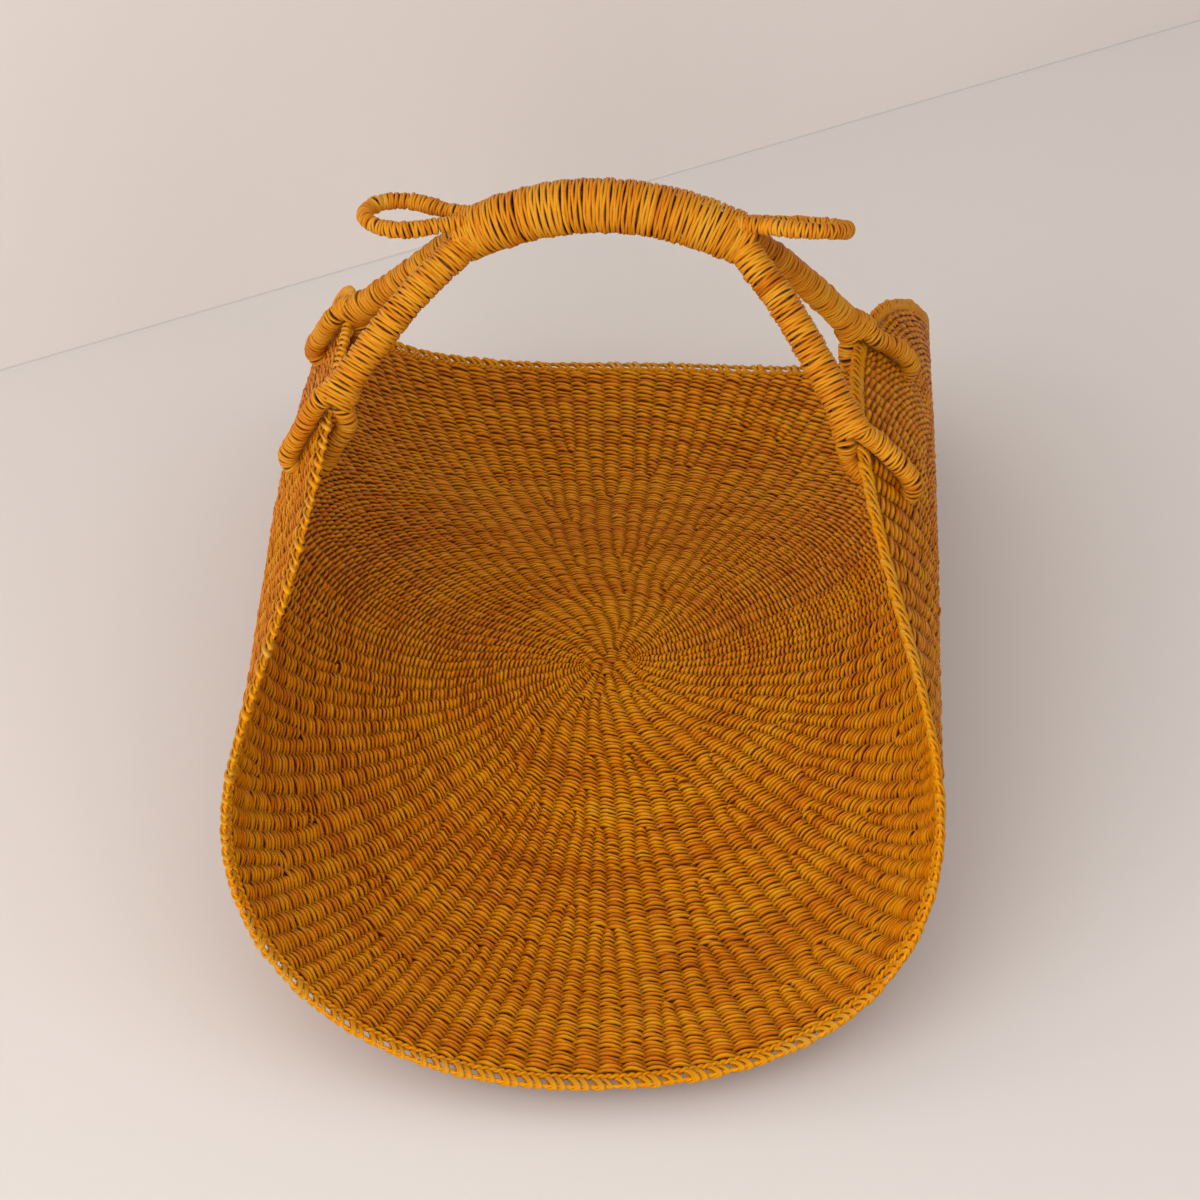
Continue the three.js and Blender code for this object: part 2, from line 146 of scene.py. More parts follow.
def mat_point(across, along, raised):
    """The bent mat in metres. A point is the middle plus the run and rise of both middle lines,
    then raised (mm) along the normal, which is the cross product of the two slope directions."""
    place, run, rise, slope = LINE_ACROSS
    x, lift_x, slope_x = (np.interp(across, place, table) for table in (run, rise, slope))
    place, run, rise, slope = LINE_ALONG
    y, lift_y, slope_y = (np.interp(along, place, table) for table in (run, rise, slope))
    point = np.stack([x, y, lift_x + lift_y], -1) * MAT_RADIUS + MAT_MIDDLE
    normal = np.stack(
        [
            -np.sin(slope_x) * np.cos(slope_y),
            -np.cos(slope_x) * np.sin(slope_y),
            np.cos(slope_x) * np.cos(slope_y),
        ],
        -1,
    )
    normal /= np.linalg.norm(normal, axis=-1, keepdims=True)
    return (point + normal * np.asarray(raised)[..., None]) * MM


print("rim at the right", mat_point(1.0, 0.0, 0.0), "and at the left", mat_point(-1.0, 0.0, 0.0))

# %% [markdown]
# ## The way the rows run
#
# Weavers start this mat over a short bar of stakes, so the first rows turn round two eyes and only
# further out become circles. Confocal ellipses do exactly that: across = sqrt(row^2 + eye^2) *
# cos(angle), along = row * sin(angle). The stakes then follow the matching curves, and near the
# middle they lean over in a slow swirl.
#
# The rows are one long spiral, packed close in the middle and a little wider towards the edge. A
# spiral never ends in a circle, so over the last rows it is eased into rings that close, and makes
# up for it on a short stretch beside the right wall.

# %% Rows
EYE = 0.042
EYE_TURN = math.radians(14)
LAST_RADIUS = 0.9785
PITCH_TABLE = [(0, 2.5), (0.42, 2.5), (0.6, 3.15), (1, 3.6)]
EASED_FROM = 0.8
SEAM_ANGLE = math.radians(20)
SEAM_SHARE = 0.06
SWIRL = math.radians(9)
LEAN_FROM, LEAN_OVER = 0.3, 0.22


def weave_point(row, angle, raised):
    """A place by row radius (a share of the mat's), angle and height: confocal ellipses turned by
    EYE_TURN, laid on the bent mat."""
    along_axis = np.sqrt(row**2 + EYE**2) * np.cos(angle - EYE_TURN)
    off_axis = row * np.sin(angle - EYE_TURN)
    across = along_axis * math.cos(EYE_TURN) - off_axis * math.sin(EYE_TURN)
    along = along_axis * math.sin(EYE_TURN) + off_axis * math.cos(EYE_TURN)
    return mat_point(across, along, raised)


def pitch_at(radius):
    """The distance from row to row at a radius, both as shares of the mat's radius."""
    return np.interp(radius, *zip(*PITCH_TABLE)) / MAT_RADIUS


def ring_radii():
    """The radius at each whole turn: each is the one before plus the pitch there, all scaled by
    one factor so that the last is LAST_RADIUS."""
    radii = [0.0]
    while radii[-1] + pitch_at(radii[-1]) / 2 < LAST_RADIUS:
        radii.append(radii[-1] + pitch_at(radii[-1]))
    return np.array(radii) * LAST_RADIUS / radii[-1]


RINGS = ring_radii()
ROWS = len(RINGS)
LAST_PITCH = RINGS[-1] - RINGS[-2]
BEYOND = LAST_RADIUS + LAST_PITCH * np.array([1, 2])


def row_radius(turns):
    """The radius after some turns, between those of whole turns and of two more rings beyond the
    last, less a part of each turn that grows from nothing at EASED_FROM to all of it at the last
    row and is given back on the last SEAM_SHARE of the turn."""
    radius = np.interp(turns, np.arange(ROWS + 2), np.append(RINGS, BEYOND))
    part = turns % 1
    saw = np.where(part < 1 - SEAM_SHARE, part / (1 - SEAM_SHARE), (1 - part) / SEAM_SHARE)
    eased = np.clip((radius - EASED_FROM) / (RINGS[-2] - EASED_FROM), 0, 1)
    return radius - eased * saw * pitch_at(radius)


def leaning(angle, row):
    """The angle on the mat of a place on a stake: turned on to the seam, less a lean that is the
    smooth step t * t * (3 - 2 t), from 0 at the row LEAN_FROM to SWIRL further in by LEAN_OVER."""
    t = np.clip((LEAN_FROM - row) / LEAN_OVER, 0, 1)
    return angle + SEAM_ANGLE - SWIRL * t * t * (3 - 2 * t)


print(ROWS, "rows, from", np.diff(RINGS[[0, 1, -2, -1]])[::2] * MAT_RADIUS, "mm apart")

# %% [markdown]
# ## Where stakes are added
#
# Twelve stakes start in the middle. As the mat grows, more are pushed in beside them, each near one
# of the rows listed here but not all at once. A table holds the angle of every stake at every row.
# It is filled row by row: a new stake starts half way between its neighbours, and then every
# stake moves a part of the way to the middle of its own two neighbours.

# %% Stakes table
STAKES_FROM_ROW = [(12, 0), (24, 4), (40, 12), (56, 24), (82, 34), (120, 54), (180, 82)]
STARTS_SPREAD = 0.2
EVENING = 0.25


def stake_starts():
    """The row where each stake starts, in their order round the mat. The added ones are shared
    out evenly over the gaps, from a random place each time."""
    starts = np.zeros(STAKES_FROM_ROW[0][0], int)
    for (before, _), (after, row) in zip(STAKES_FROM_ROW, STAKES_FROM_ROW[1:]):
        added = after - before
        gaps = ((np.arange(added) + rng.random()) * before / added).astype(int) + 1
        spread = round(STARTS_SPREAD * row)
        starts = np.insert(starts, gaps, row + rng.integers(-spread, spread + 1, added))
    return starts


def stake_table(starts):
    """Angles by row and stake, with each row evened out by angle += EVENING * (half the sum of
    both neighbours - angle). Stakes that haven't started yet are given the place between."""
    number = np.arange(len(starts))
    there = starts == 0
    angle = np.linspace(0, 2 * np.pi, there.sum() + 1)
    table = []
    for row in range(ROWS + 2):
        marks = np.append(number[there], len(starts))
        angle = np.interp(number, marks, angle)
        table.append(angle)
        there = starts <= row
        angle = np.append(angle[there], 2 * np.pi)
        angle[1:-1] += EVENING * ((angle[2:] + angle[:-2]) / 2 - angle[1:-1])
    return np.array(table)


STARTS = stake_starts()
STAKE_ANGLES = stake_table(STARTS)
print("stakes at every tenth row:", [int((STARTS <= row).sum()) for row in range(0, ROWS, 10)])

# %% [markdown]
# ## Tubes from grids
#
# Every straw is a tube: a grid of points with one direction along the straw and one round it. One
# function turns a list of such grids into a mesh, with two UV maps. "Straw" runs in real lengths
# along the straw for the pattern of the finish, and "OFBake" packs all tubes side by side in the
# unit square, so that the finish can be baked.

# %% Mesh builder
SIDES = 6
RING = 2 * np.pi * np.arange(SIDES) / SIDES
STRAW_UNIT, STRAW_OFFSET = 20.0, 1.7
COLUMN_MARGIN, LANE_MARGIN = 0.01, 0.05
CAP_STRAW, CAP_COLUMN = (0.001, 0.002), 0.004


def tube_mesh(name, tubes, turn_lengths):
    """One mesh from tubes. A tube is (points, length, attributes): points is an (n, sides, 3) grid
    closed round its second direction, length gives the distance (mm) at each of the n rings, and
    attributes are values that can be spread over (n, sides). Long tubes are cut into strips of
    turn_lengths rings in the baking map. Both ends are closed by one face each."""
    strips = sum(math.ceil((len(t[0]) - 1) / turn) for t, turn in zip(tubes, turn_lengths))
    corners, starts, straw_uv, bake_uv, points = [], [], [], [], []
    names = tubes[0][2].keys()
    values = {key: [] for key in names}
    first_vertex = first_corner = strip = 0
    for (grid, length, attributes), turn in zip(tubes, turn_lengths):
        n, sides = grid.shape[:2]
        i, k = np.meshgrid(np.arange(n - 1), np.arange(sides), indexing="ij")
        after = (k + 1) % sides
        quad = np.stack([i * sides + k, i * sides + after], -1)
        quad = np.concatenate([quad, quad[..., ::-1] + sides], -1).reshape(-1, 4)
        along = np.stack([length[i], length[i], length[i + 1], length[i + 1]], -1) / STRAW_UNIT
        round_it = np.stack([k, k + 1, k + 1, k], -1) / sides
        straw_uv.append(np.stack([along, round_it + strip * STRAW_OFFSET], -1).reshape(-1, 2))
        column = (i % turn) / turn
        column = np.stack([column, column, column + 1 / turn, column + 1 / turn], -1)
        column = column * (1 - 2 * COLUMN_MARGIN) + COLUMN_MARGIN
        lane = (strip + i // turn)[..., None] + LANE_MARGIN + (1 - 2 * LANE_MARGIN) * round_it
        bake_uv.append(np.stack([column, lane / strips], -1).reshape(-1, 2))
        caps = np.stack([np.arange(sides)[::-1], (n - 1) * sides + np.arange(sides)])
        straw_uv.append(np.tile(CAP_STRAW, (2 * sides, 1)))
        bake_uv.append(np.tile((CAP_COLUMN, (strip + 0.5) / strips), (2 * sides, 1)))
        corners.append(np.concatenate([quad.ravel(), caps.ravel()]) + first_vertex)
        quad_starts = first_corner + 4 * np.arange(len(quad))
        cap_starts = first_corner + 4 * len(quad) + sides * np.arange(2)
        starts.append(np.concatenate([quad_starts, cap_starts]))
        points.append(grid.reshape(-1, 3))
        for key in names:
            values[key].append(np.broadcast_to(attributes[key], (n, sides)).ravel())
        first_vertex += n * sides
        first_corner += 4 * len(quad) + 2 * sides
        strip += math.ceil((n - 1) / turn)
    points, corners, starts = (np.concatenate(part) for part in (points, corners, starts))
    mesh = bpy.data.meshes.new(name)
    mesh.vertices.add(len(points))
    mesh.vertices.foreach_set("co", points.ravel().astype(np.float32))
    mesh.loops.add(len(corners))
    mesh.loops.foreach_set("vertex_index", corners.astype(np.int32))
    mesh.polygons.add(len(starts))
    mesh.polygons.foreach_set("loop_start", starts.astype(np.int32))
    mesh.update(calc_edges=True)
    for label, uv in (("Straw", straw_uv), ("OFBake", bake_uv)):
        layer = mesh.uv_layers.new(name=label)
        layer.uv.foreach_set("vector", np.concatenate(uv).ravel().astype(np.float32))
    for key in names:
        attribute = mesh.attributes.new(key, "FLOAT", "POINT")
        attribute.data.foreach_set("value", np.concatenate(values[key]).astype(np.float32))
    mesh.shade_smooth()
    mesh.validate()
    return mesh


def place(name, mesh, material, nodes, slot):
    """Puts a finished mesh into the scene, riding on the basket and standing for CAD nodes."""
    piece = bpy.data.objects.new(name, mesh)
    bpy.context.scene.collection.objects.link(piece)
    piece.data.materials.append(material)
    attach(piece, "root")
    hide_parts(*nodes)
    print(f"{name}: {len(mesh.loops) - 2 * len(mesh.polygons)} triangles")


# %% [markdown]
# ## The finish of dyed grass
#
# Elephant grass takes dye unevenly: straws of one batch run from rusty orange through mustard to
# olive and pale straw, each with fine lines along its length and a slight waxy shine. The finish
# reads two values stored on the mesh, the straw's own tone and how open to the light a place is,
# and adds noise that is stretched along the straw. Where straws touch and at their sides, shade is
# painted in: the colour turns towards a dark brown where a place is less open to the light.

# %% Shader maths on sockets


class Wire:
    """A socket that can be used in arithmetic: each operator adds one Math node."""

    def __init__(self, tree, socket):
        self.tree, self.socket = tree, socket

    def math(self, operation, *others):
        """Adds a Math node that reads sockets or numbers."""
        node = self.tree.nodes.new("ShaderNodeMath")
        node.operation = operation
        for slot, value in zip(node.inputs, others):
            if isinstance(value, Wire):
                self.tree.links.new(value.socket, slot)
            else:
                slot.default_value = value
        return Wire(self.tree, node.outputs[0])

    def __add__(self, other):
        return self.math("ADD", self, other)

    def __mul__(self, other):
        return self.math("MULTIPLY", self, other)

    __rmul__ = __mul__

    def __sub__(self, other):
        return self.math("SUBTRACT", self, other)

    def __rsub__(self, other):
        return self.math("SUBTRACT", other, self)


class Finish:
    """A material under construction. node() adds any node: its settings first, then the number of
    the output that is read, then its inputs, by name or by number (_6 is input 6)."""

    def __init__(self, name):
        self.material = bpy.data.materials.new(name)
        self.material.use_nodes = True
        self.tree = self.material.node_tree
        self.tree.nodes.clear()
        self.shader = self.tree.nodes.new("ShaderNodeBsdfPrincipled")
        self.output = self.tree.nodes.new("ShaderNodeOutputMaterial")
        self.tree.links.new(self.shader.outputs[0], self.output.inputs[0])

    def node(self, kind, settings=None, output=0, **sockets):
        """Adds a node, fills it in and gives back one of its outputs."""
        made = self.tree.nodes.new("ShaderNode" + kind)
        for key, value in (settings or {}).items():
            if key == "ramp":
                while len(made.color_ramp.elements) < len(value):
                    made.color_ramp.elements.new(0.5)
                for stop, (position, colour) in zip(made.color_ramp.elements, value):
                    stop.position, stop.color = position, (*colour, 1)
            else:
                setattr(made, key, value)
        for key, value in sockets.items():
            socket = made.inputs[int(key[1:])] if key[1:].isdigit() else made.inputs[key]
            self.put(socket, value)
        return Wire(self.tree, made.outputs[output])

    def put(self, socket, value):
        """Links a socket to a Wire, or gives it a constant."""
        if isinstance(value, Wire):
            self.tree.links.new(value.socket, socket)
        else:
            socket.default_value = value

    def set(self, **values):
        """Links or sets inputs of the shader, with _ for each space in a name."""
        for key, value in values.items():
            self.put(self.shader.inputs[key.replace("_", " ")], value)

    def clear_from_behind(self):
        """Mixes the finish with a clear one by whether a face is seen from its back."""
        behind = self.node("NewGeometry", None, 6)
        clear = self.tree.nodes.new("ShaderNodeBsdfTransparent")
        mix = self.tree.nodes.new("ShaderNodeMixShader")
        self.put(mix.inputs[0], behind)
        self.tree.links.new(self.shader.outputs[0], mix.inputs[1])
        self.tree.links.new(clear.outputs[0], mix.inputs[2])
        self.tree.links.new(mix.outputs[0], self.output.inputs[0])


def paint(code):
    """A screen colour such as b87a1c as linear light: ((c + 0.055) / 1.055) ** 2.4 where a share
    c is above 0.04045, and c / 12.92 below."""
    shares = np.array([int(code[i : i + 2], 16) for i in (0, 2, 4)]) / 255
    return tuple(np.where(shares > 0.04045, ((shares + 0.055) / 1.055) ** 2.4, shares / 12.92))


# %% Grass material
STREAK_SHARE, CLOUD_SHARE = 0.8, 0.3
# Painted shade: the dark brown that every grass finish turns towards where a place is less open to
# the light, and how far it turns.
PAINTED_SHADE, PAINTED_SHADE_DEPTH = paint("2c0e00"), 0.85
ROUGH, ROUGH_STREAK = 0.5, 0.2
GRASS_TONES = [
    (0.0, paint("9c4c00")),
    (0.3, paint("ca6800")),
    (0.5, paint("e28600")),
    (0.7, paint("ec9c06")),
    (0.85, paint("dc9a2c")),
    (1.0, paint("e6b058")),
]


def grass(name, tones):
    """Dyed grass. Colour is a ramp over tone + STREAK_SHARE * (streak - 0.5) + CLOUD_SHARE *
    (cloud - 0.5), where streak is noise drawn out along the straw. As painted shade, it then turns
    towards the dark brown of the shade colour by the shade depth times (1 - open)."""
    finish = Finish(name)
    tone = finish.node("Attribute", {"attribute_name": "tone"}, 2)
    open_to_light = finish.node("Attribute", {"attribute_name": "open"}, 2)
    uv = finish.node("UVMap", {"uv_map": "Straw"})
    long = finish.node("Mapping", None, 0, Vector=uv, Scale=(1.2, 2.7, 1.0))
    streak = finish.node("TexNoise", None, 0, Vector=long, Scale=3.0, Detail=4.0, Roughness=0.6)
    place_in = finish.node("TexCoord", None, 3)
    cloud = finish.node("TexNoise", None, 0, Vector=place_in, Scale=16.0, Detail=3.0)
    mixed = tone + (streak - 0.5) * STREAK_SHARE + (cloud - 0.5) * CLOUD_SHARE
    colour = finish.node("ValToRGB", {"ramp": tones}, 0, Fac=mixed)
    # Painted shade, by how little open to the light a place is.
    dark = (1.0 - open_to_light) * PAINTED_SHADE_DEPTH
    colour = finish.node("Mix", {"data_type": "RGBA"}, 2, _0=dark, _6=colour, _7=(*PAINTED_SHADE, 1))
    bump = finish.node("Bump", None, 0, Height=streak, Strength=0.5, Distance=0.0006)
    finish.set(Base_Color=colour, Roughness=ROUGH - ROUGH_STREAK * (streak - 0.5), Normal=bump)
    finish.set(Specular_IOR_Level=0.32, Specular_Tint=(1.0, 0.62, 0.15, 1))
    return finish.material


MAT_GRASS = grass("mat_grass", GRASS_TONES)
print("grass tones:", len(GRASS_TONES))

# %% [markdown]
# ## Twined rows
#
# Two strands share each row. While one passes in front of a stake the other passes behind it, and
# between two stakes they change places. As a formula: with p = pi * stakes passed, the sideways
# shift of a strand is sin(p), and the second strand is half a turn behind. Its height follows
# cos(p + lead) + stay, flattened by a power of 0.65. So a strand comes up a little early, over its
# neighbour, and dives early too, under the next one, and it stays in front a little longer than
# behind, which makes the ends of neighbours overlap. That gives the leaning, leaf-like floats of
# the real mat. A float is broad soon after it comes up and tapers until it dives: sin(pi *
# t^0.75), where t runs from 0 to 1 along the float.
#
# Straws are dyed in batches and spliced in as they run out. So the tone of a row drifts every few
# rows, and jumps a little from one spliced length to the next.

# %% Twined rows
SAMPLES = 5
STRANDS = 2
TURNED_RING = 2 * np.pi * (np.arange(SIDES) + 0.5) / SIDES
STRAND_RISE = 1.8
RISE_POWER = 0.65
STRAND_LEAD = 0.42
STRAND_SHIFT = 0.3
STRAND_STAY = 0.2
FLOAT_HALF = (0.34, 0.5)
FLOAT_THICK = (0.5, 0.75)
FLOAT_POWER = 0.75
COLUMN_OFF, COLUMN_MOST = 0.06, 0.2
RISE_OFF, SHIFT_OFF, WIDTH_OFF, TONE_OFF = 0.15, 0.07, 0.16, 0.04
LEAST_WIDTH = 0.05
ROW_TONE = 0.5
SPLICES = dict(shortest=7, longest=34, spread=0.07)
SIDE_SHADE = 0.92
OPEN_POWER = 0.3
MOST_FACES = 95000
BATCH_ROWS, BATCH_SPREAD = 4, 0.04
BATCHES = rng.normal(0, BATCH_SPREAD, ROWS // BATCH_ROWS + 2)


def spliced(count, shortest, longest, spread):
    """A value for each of count places along a straw that stays the same until it is spliced, from
    shortest to longest places further on."""
    lengths = rng.integers(shortest, longest, size=2 + count // shortest)
    ends = np.cumsum(lengths)
    values = rng.normal(0, spread, len(ends))
    return values[np.searchsorted(ends, np.arange(count), side="right")]


def stakes_passed(first_row, last_row):
    """The turns made at each stake that the rows pass. Within a turn the angle of a stake blends
    from its place in this row of the table to its place in the next. Each place is off by a small
    share of the step from stake to stake, because hands aren't exact."""
    turns = []
    for row in range(first_row, last_row):
        there = STARTS <= row
        here, after = STAKE_ANGLES[row, there], STAKE_ANGLES[row + 1, there]
        share = here / (2 * np.pi)
        turns.append(row + (here + (after - here) * share) / (2 * np.pi))
    turns = np.append(np.concatenate(turns), last_row)
    off = (COLUMN_OFF * rng.normal(0, 1, len(turns) - 2)).clip(-COLUMN_MOST, COLUMN_MOST)
    turns[1:-1] += off * np.minimum(np.diff(turns)[1:], np.diff(turns)[:-1])
    return turns


def twined_strand(turn_of_stake, half_turn):
    """One strand past the given stakes, with SAMPLES rings from one stake to the next. Width and
    height follow the formulas above, with a small error that differs from stake to stake. The
    last stretch of the last row fades out between its neighbour and the edge."""
    count = len(turn_of_stake) - 1
    u = np.arange(count * SAMPLES + 1) / SAMPLES
    turns = np.interp(u, np.arange(count + 1), turn_of_stake)
    fading = np.clip((ROWS - turns) / SEAM_SHARE, LEAST_WIDTH, 1)
    row = np.minimum(row_radius(turns), LAST_RADIUS)
    pitch = pitch_at(row) * fading
    row = row + LAST_PITCH * (1 - fading) / 2
    angle = leaning(2 * np.pi * turns, row)
    phase = np.pi * (u + half_turn)
    front = np.cos(phase + STRAND_LEAD) + STRAND_STAY
    own = rng.normal(0, 1, (4, count + 2))
    soft = [np.interp(u, np.arange(count + 2), values) for values in own[:3]]
    rise = STRAND_RISE * np.sign(front) * np.abs(front) ** RISE_POWER * (1 + RISE_OFF * soft[0])
    shift = pitch * (STRAND_SHIFT * np.sin(phase) + SHIFT_OFF * soft[1])
    full = np.sin(np.pi * (((phase + STRAND_LEAD) / np.pi + 0.5) % 1) ** FLOAT_POWER)
    half, thick = (slim + (wide - slim) * full for slim, wide in (FLOAT_HALF, FLOAT_THICK))
    broad = pitch * half * (1 + WIDTH_OFF * soft[2])
    sideways = shift[:, None] + broad[:, None] * np.cos(TURNED_RING)
    raised = rise[:, None] + thick[:, None] * np.sin(TURNED_RING)
    grid = weave_point(row[:, None] + sideways, angle[:, None], raised)
    stake = np.minimum((u + 0.5 - STRAND_LEAD / np.pi).astype(int), count)
    tone = ROW_TONE + spliced(count + 1, **SPLICES)[stake] + own[3][stake] * TONE_OFF
    tone += np.interp(turns, BATCH_ROWS * np.arange(len(BATCHES)), BATCHES)
    length = np.concatenate([[0], np.cumsum(row[1:] * np.diff(turns))]) * 2 * np.pi * MAT_RADIUS
    # Painted shade: the sides of a strand, and the stretches where it dives behind a stake, are
    # less open to the light.
    sides_shaded = 1 - SIDE_SHADE * np.cos(TURNED_RING) ** 2
    open_to_light = np.abs(front)[:, None] ** OPEN_POWER * sides_shaded
    return grid[:, ::-1], length, {"tone": tone[:, None], "open": open_to_light[:, ::-1]}


stakes_in_row = [(STARTS <= row).sum() for row in range(ROWS)]
piece_of_row = np.cumsum(stakes_in_row) * SAMPLES * SIDES * STRANDS // MOST_FACES
for piece in range(piece_of_row[-1] + 1):
    rows = np.flatnonzero(piece_of_row == piece)
    passed = stakes_passed(rows[0], rows[-1] + 1)
    tubes = [twined_strand(passed, half_turn) for half_turn in range(STRANDS)]
    weave = tube_mesh("weave", tubes, [int(stakes_in_row[rows[-1]]) * SAMPLES] * STRANDS)
    place(f"weave_{piece + 1:02d}", weave, MAT_GRASS, ["woven_body"], "mat_grass")

# %% [markdown]
# ## Stakes
#
# The stakes are hidden under the weave, but without them light would shine through between the
# rows. They follow the table of angles and the same lean, and each is a flat bundle of straws, a
# fifth wider than the room it has, so that neighbours overlap.

# %% Stakes
STAKE_THICK = 0.7
STAKE_HALF = 0.6
# STAKE_OPEN paints shade on the stakes: they count as little open to the light, so their colour
# turns far towards dark brown.
STAKE_TONE, STAKE_OPEN = 0.3, 0.3


def stake_tube(number):
    """One stake, from its first row to the edge, flat and broad along the rows: half its width is
    STAKE_HALF * 2 pi / stakes there, as an angle."""
    rows = np.arange(STARTS[number], ROWS + 1)
    angle = STAKE_ANGLES[rows, number]
    row = row_radius(rows + angle / (2 * np.pi))
    room = 2 * np.pi / np.array([(STARTS <= one).sum() for one in rows])
    turn = room[:, None] * STAKE_HALF * np.cos(RING)
    raised = STAKE_THICK * np.sin(RING)
    grid = weave_point(row[:, None], leaning(angle, row)[:, None] + turn, raised)
    return grid, row * MAT_RADIUS, {"tone": STAKE_TONE, "open": STAKE_OPEN}


stake_tubes = [stake_tube(number) for number in range(len(STARTS))]
stakes_mesh = tube_mesh("stakes", stake_tubes, [len(tube[0]) for tube in stake_tubes])
place("stakes", stakes_mesh, MAT_GRASS, ["woven_body"], "mat_grass")

# %% [markdown]
# ## The knotted edge
#
# At the edge every stake is turned back and knotted round two thin cords, one just outside the
# last row and one at the very edge, so that small holes stay open from knot to knot. All knots are
# one long coil here: a turn and a half close together makes a knot of two broad, leaning straws,
# then a slimmer half turn runs on to the next stake. Each cord is two plies twisted round each
# other.

# %% Edge
RIM_STAKES = len(STARTS)
EDGE_OPEN, EDGE_SHADE = 0.9, 0.4
EDGE_STRIPS = 8
KNOT_STEPS = 14
KNOT_TURNS = 1.5
KNOT_SHARE = 0.55
KNOT_SWING = (2.9, 1.8)
KNOT_LEAN = 0.27
KNOT_HALF = (1.55, 0.85)
KNOT_SLIM = 0.6
KNOT_OFF = 0.14
KNOT_TONE = 0.74
KNOT_SPLICES = dict(shortest=1, longest=4, spread=0.06)
CORD_STEPS = 12
CORD_TWISTS = 1.5
CORD_TONE, CORD_DRIFT, CORD_DRIFTS = 0.6, 0.04, 37
INNER_CORD = dict(middle=-3.9, lift=0.9, twist=0.7, half=1.05)
OUTER_CORD = dict(middle=2.2, lift=0.0, twist=0.4, half=0.8)


def rim_tube(angle, shift, raised, tone):
    """A straw along the edge. angle is in radians and shift (outwards) and raised in mm from the
    mat's edge, all three by rings and sides. Its sides get painted shade, as they count as less
    open
    to the light: EDGE_OPEN less EDGE_SHADE * cos(round)^2."""
    grid = weave_point(1 + shift / MAT_RADIUS, angle, raised)
    # Painted shade on the sides of every straw along the edge.
    open_to_light = EDGE_OPEN - EDGE_SHADE * np.cos(RING) ** 2
    return grid[:, ::-1], angle[:, 0] * MAT_RADIUS, {"tone": tone[:, None], "open": open_to_light}


def knot_coil():
    """The coil of knots. Its angle round the cords grows evenly, while its way along the edge runs
    slowly for KNOT_TURNS turns and then fast for half a turn. Its straw is a flat oval, broad along
    the edge, so the half widths lie along the edge and away from the coil's middle."""
    per_stake = KNOT_TURNS + 0.5
    w = np.arange(int(RIM_STAKES * per_stake * KNOT_STEPS) + 1) / KNOT_STEPS
    stake, turned = w // per_stake, w % per_stake
    slow = turned / KNOT_TURNS * KNOT_SHARE
    fast = KNOT_SHARE + (turned - KNOT_TURNS) * 2 * (1 - KNOT_SHARE)
    passed = stake + np.where(turned < KNOT_TURNS, slow, fast) + KNOT_LEAN * np.cos(2 * np.pi * w)
    numbers = np.arange(int(w[-1]) + 2)
    size = 1 + KNOT_OFF * np.interp(w, numbers, rng.normal(0, 1, len(numbers)))
    broad = np.where(turned < KNOT_TURNS, 1, KNOT_SLIM) * size * KNOT_HALF[0]
    out = np.stack([np.cos(2 * np.pi * w), np.sin(2 * np.pi * w)])
    along = broad[:, None] * np.cos(RING)
    away = size[:, None] + KNOT_HALF[1] / KNOT_SWING[1] * np.sin(RING)
    shift, raised = (out[i][:, None] * KNOT_SWING[i] * away for i in (0, 1))
    angle = 2 * np.pi / RIM_STAKES * passed[:, None] + along / MAT_RADIUS
    tone = KNOT_TONE + spliced(RIM_STAKES + 1, **KNOT_SPLICES)[stake.astype(int)]
    return rim_tube(angle, shift, raised, tone)


def cord_ply(start, middle, lift, twist, half):
    """One ply of a cord: a circle of radius twist round the cord's middle line, CORD_TWISTS turns
    for each stake. Its tone drifts up and down CORD_DRIFTS times round the edge."""
    angle = np.linspace(0, 2 * np.pi, RIM_STAKES * CORD_STEPS + 1)[:, None]
    turn = angle * RIM_STAKES * CORD_TWISTS + start
    shift = middle + twist * np.cos(turn) + half * np.cos(RING)
    raised = lift + twist * np.sin(turn) + half * np.sin(RING)
    tone = CORD_TONE + CORD_DRIFT * np.cos(angle[:, 0] * CORD_DRIFTS)
    return rim_tube(angle, shift, raised, tone)


edge_tubes = [
    cord_ply(start, **cord) for cord in (INNER_CORD, OUTER_CORD) for start in (0, math.pi)
]
edge_tubes.append(knot_coil())
edge_mesh = tube_mesh("edge", edge_tubes, [len(tube[0]) // EDGE_STRIPS for tube in edge_tubes])
place("knotted_edge", edge_mesh, MAT_GRASS, ["rim_braid"], "mat_grass")

# %% [markdown]
# ## Paths of the handle
#
# The handle's parts follow smooth paths through a few measured points. A natural spline over the
# distance from point to point keeps the curves even, and resampling by length lets the wrapping
# advance at a steady pace.
#
# A foot is given by the angle at which its leg passes the rim, and in mm by how far the leg bows
# out, how far above the rim it ends and how far outwards it leans there. A hole is given by its
# angle and its distance from the mat's middle.

# %% Smooth paths
FINER = 8


def between_rows(where, marks, rows):
    """Rows of a table read between its marks, each column by straight lines."""
    return np.stack([np.interp(where, marks, column) for column in rows.T], -1)


